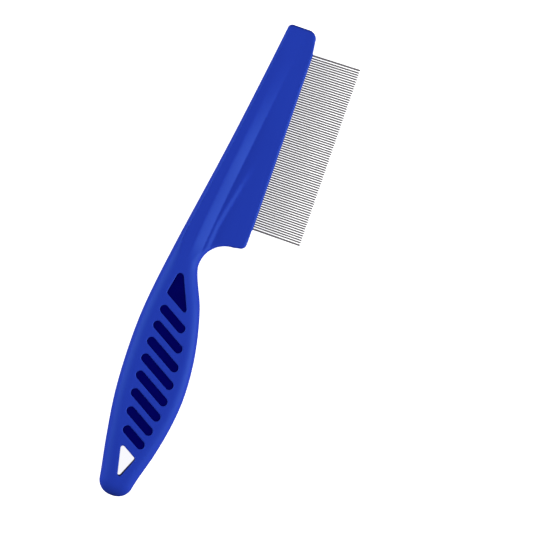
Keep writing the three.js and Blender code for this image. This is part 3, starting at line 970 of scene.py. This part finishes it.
point = [short_of_point(share) for share in POINT_SHARES] + [whole_leg]
reach = picked(past_bend, [0.0] + point)
bend_x = calc("MULTIPLY", bend_radius, calc("COSINE", angle))
hairpin_x = calc("SUBTRACT", calc("SUBTRACT", reach, given["Seat_Depth"]), bend_x)
hairpin_y = calc("MULTIPLY", bend_radius, calc("SINE", angle))
hairpin_radius = calc("MULTIPLY", given["Wire_Radius"], picked(past_bend, [1.0] + POINT_RADII))
hairpin = wire(2 * LEG_STATIONS + 1, hairpin_x, hairpin_y, hairpin_radius)

# A guard pin has a flat head behind its seat, and its shaft starts just inside the head's face.

GUARD_HEAD_FROM = -0.55
GUARD_HEAD_TO = -0.05
GUARD_SHAFT_FROM = -0.03

guard_head = [place * MM for place in (GUARD_HEAD_FROM, GUARD_HEAD_TO, GUARD_SHAFT_FROM)]
guard_x = calc("SUBTRACT", picked(station, guard_head + point), given["Seat_Depth"])
shaft_share = picked(station, [0.0, 0.0, 1.0] + POINT_RADII)
head_share = picked(station, [1.0, 1.0, 0.0, 0.0, 0.0, 0.0, 0.0])
guard_radius = calc(
    "ADD",
    calc("MULTIPLY", given["Guard_Radius"], shaft_share),
    calc("MULTIPLY", given["Guard_Head_Radius"], head_share),
)
guard = wire(len(guard_head) + len(point), guard_x, 0.0, guard_radius)

first_middle = calc("ADD", given["Guard_Gap"], bend_radius)
row_offset = node(tine_tree, "ShaderNodeCombineXYZ", Y=first_middle).outputs[0]
row_place = node(
    tine_tree, "ShaderNodeVectorMath", {"operation": "ADD"}, i0=given["Row_Start"], i1=row_offset,
).outputs[0]
pair_pitch = calc("MULTIPLY", given["Pitch"], 2)
pair_step = node(tine_tree, "ShaderNodeCombineXYZ", Y=pair_pitch).outputs[0]
hairpin_seats = node(
    tine_tree, "GeometryNodeMeshLine", {"mode": "OFFSET"},
    Count=given["Hairpins"], Start_Location=row_place, Offset=pair_step,
).outputs[0]
low_stray = calc("MULTIPLY", given["Straying"], -1)
stray_low = node(tine_tree, "ShaderNodeCombineXYZ", Y=low_stray, Z=low_stray).outputs[0]
stray_high = node(
    tine_tree, "ShaderNodeCombineXYZ", Y=given["Straying"], Z=given["Straying"],
).outputs[0]
stray = node(
    tine_tree, "FunctionNodeRandomValue", {"data_type": "FLOAT_VECTOR"},
    i0=stray_low, i1=stray_high,
)
tine_tree.links.new(given["Seed"], stray.inputs["Seed"])


def splayed(last):
    """The lean of each of the places in a row, from the first one to the last."""
    share = calc("DIVIDE", station, last)
    spread = calc("SUBTRACT", given["Upper_Splay"], given["Lower_Splay"])
    lean = calc("ADD", given["Lower_Splay"], calc("MULTIPLY", spread, share))
    return node(tine_tree, "ShaderNodeCombineXYZ", Z=lean).outputs[0]


hairpin_lean = node(
    tine_tree, "ShaderNodeVectorMath", {"operation": "ADD"},
    i0=splayed(calc("SUBTRACT", given["Hairpins"], 1)), i1=stray.outputs[0],
).outputs[0]
hairpins = node(
    tine_tree, "GeometryNodeInstanceOnPoints",
    Points=hairpin_seats, Instance=hairpin, Rotation=hairpin_lean,
).outputs[0]
guard_run = node(
    tine_tree, "ShaderNodeVectorMath", {"operation": "SUBTRACT"},
    i0=given["Row_End"], i1=given["Row_Start"],
).outputs[0]
guard_seats = node(
    tine_tree, "GeometryNodeMeshLine", {"mode": "OFFSET"},
    Count=2, Start_Location=given["Row_Start"], Offset=guard_run,
).outputs[0]
guards = node(
    tine_tree, "GeometryNodeInstanceOnPoints",
    Points=guard_seats, Instance=guard, Rotation=splayed(1),
).outputs[0]
both = tine_tree.nodes.new("GeometryNodeJoinGeometry")
tine_tree.links.new(hairpins, both.inputs[0])
tine_tree.links.new(guards, both.inputs[0])
real = node(tine_tree, "GeometryNodeRealizeInstances", Geometry=both.outputs[0]).outputs[0]
steeled = node(
    tine_tree, "GeometryNodeSetMaterial", Geometry=real, Material=given["Steel"],
).outputs[0]
tine_out = tine_tree.nodes.new("NodeGroupOutput")
tine_tree.links.new(steeled, tine_out.inputs[0])


def drawn_stainless_wire(name, deep, bright, roughness):
    """Drawn stainless, satin from the die, which gives a soft mid grey.

    Lines 0.05 mm wide and 3 mm long run along the wire and stretch its highlights.
    """
    material, tree = new_material(name)
    place = node(tree, "ShaderNodeTexCoord").outputs["Object"]
    along = (1000 / 3, 1000 / 0.05, 1000 / 0.05)
    lines = node(tree, "ShaderNodeMapping", Vector=place, Scale=along)
    drawn = node(tree, "ShaderNodeTexNoise", Vector=lines.outputs[0], Scale=1.0, Detail=2.0)
    tone = node(
        tree, "ShaderNodeMix", {"data_type": "RGBA"},
        i0=drawn.outputs[0], i6=srgb(deep), i7=srgb(bright),
    )
    gloss = node(
        tree, "ShaderNodeMapRange",
        Value=drawn.outputs[0], To_Min=roughness - 0.06, To_Max=roughness + 0.08,
    )
    bump = node(tree, "ShaderNodeBump", Strength=0.3, Distance=0.000004, Height=drawn.outputs[0])
    shader = node(
        tree, "ShaderNodeBsdfPrincipled",
        Base_Color=tone.outputs[2], Metallic=0.45, Roughness=gloss.outputs[0],
        Normal=bump.outputs[0],
    )
    node(tree, "ShaderNodeOutputMaterial", Surface=shader.outputs[0])
    return material


steel = drawn_stainless_wire("drawn_stainless_wire", "#88848A", "#A8A4A9", 0.3)
maker = bpy.data.objects.new("tine_maker", bpy.data.meshes.new("tine_maker"))
bpy.context.scene.collection.objects.link(maker)
row = maker.modifiers.new("tine_row", "NODES")
row.node_group = tine_tree
for item in tine_tree.interface.items_tree:
    if item.in_out == "INPUT":
        value = steel if item.name == "Steel" else tine_inputs[item.name][1]
        row[item.identifier] = value
seen = maker.evaluated_get(bpy.context.evaluated_depsgraph_get())
tine_mesh = bpy.data.meshes.new_from_object(seen)
bpy.data.objects.remove(maker)
tines = added("steel_tines", tine_mesh, 50)
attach(tines, "root")
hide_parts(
    "guard_tine_lower", "guard_tine_upper",
    *[f"hairpin_{i + 1:02d}" for i in range(HAIRPINS)],
)


# ---- Floor and light ------------------------------------------------------------------------
# A white paper sweep that adds no light of its own to the comb, a long low softbox on each side,
# and a white room, dim in the light it gives, so that the shoulders and bands stand out.

FLOOR_SIZE = 3.0
ROOM_LIGHT = 0.12
ROOM_SEEN = 0.97
floor_mesh = bpy.data.meshes.new("white_sweep")
half = FLOOR_SIZE / 2
floor_mesh.from_pydata(
    [(-half, -half, 0), (half, -half, 0), (half, half, 0), (-half, half, 0)], [], [(0, 1, 2, 3)],
)
floor = bpy.data.objects.new("white_sweep", floor_mesh)
bpy.context.scene.collection.objects.link(floor)
paper, paper_tree = new_material("white_paper")
paper_shader = node(
    paper_tree, "ShaderNodeBsdfPrincipled",
    Base_Color=srgb("#F6F6F6"), Roughness=0.9,
    Emission_Color=srgb("#FFFFFF"), Emission_Strength=0.93,
)
node(paper_tree, "ShaderNodeOutputMaterial", Surface=paper_shader.outputs[0])
floor_mesh.materials.append(paper)
floor.visible_diffuse = False
floor.visible_glossy = False


def softbox(name, place, size, power):
    """A rectangular light that faces the middle of the comb."""
    data = bpy.data.lights.new(name, "AREA")
    data.shape = "RECTANGLE"
    data.size, data.size_y = size
    data.energy = power
    lamp = bpy.data.objects.new(name, data)
    bpy.context.scene.collection.objects.link(lamp)
    aim = Vector((0, 0, 0)) - Vector(place)
    lamp.matrix_world = Matrix.Translation(place) @ aim.to_track_quat("-Z", "Y").to_matrix().to_4x4()


softbox("softbox_tooth_side", (0.77, 0.04, 0.235), (0.35, 0.9), 9.2)
softbox("softbox_back_side", (-0.77, 0.0, 0.235), (0.35, 0.9), 7.0)

world = bpy.data.worlds.new("dim_white_room")
world.use_nodes = True
room = world.node_tree
sky = room.nodes["Background"]
sky.inputs["Color"].default_value = srgb("#FFFFFF")
seen = node(room, "ShaderNodeLightPath").outputs["Is Camera Ray"]
strength = node(room, "ShaderNodeMapRange", Value=seen, To_Min=ROOM_LIGHT, To_Max=ROOM_SEEN)
room.links.new(strength.outputs[0], sky.inputs["Strength"])
bpy.context.scene.world = world
bpy.context.scene.view_settings.view_transform = "Standard"
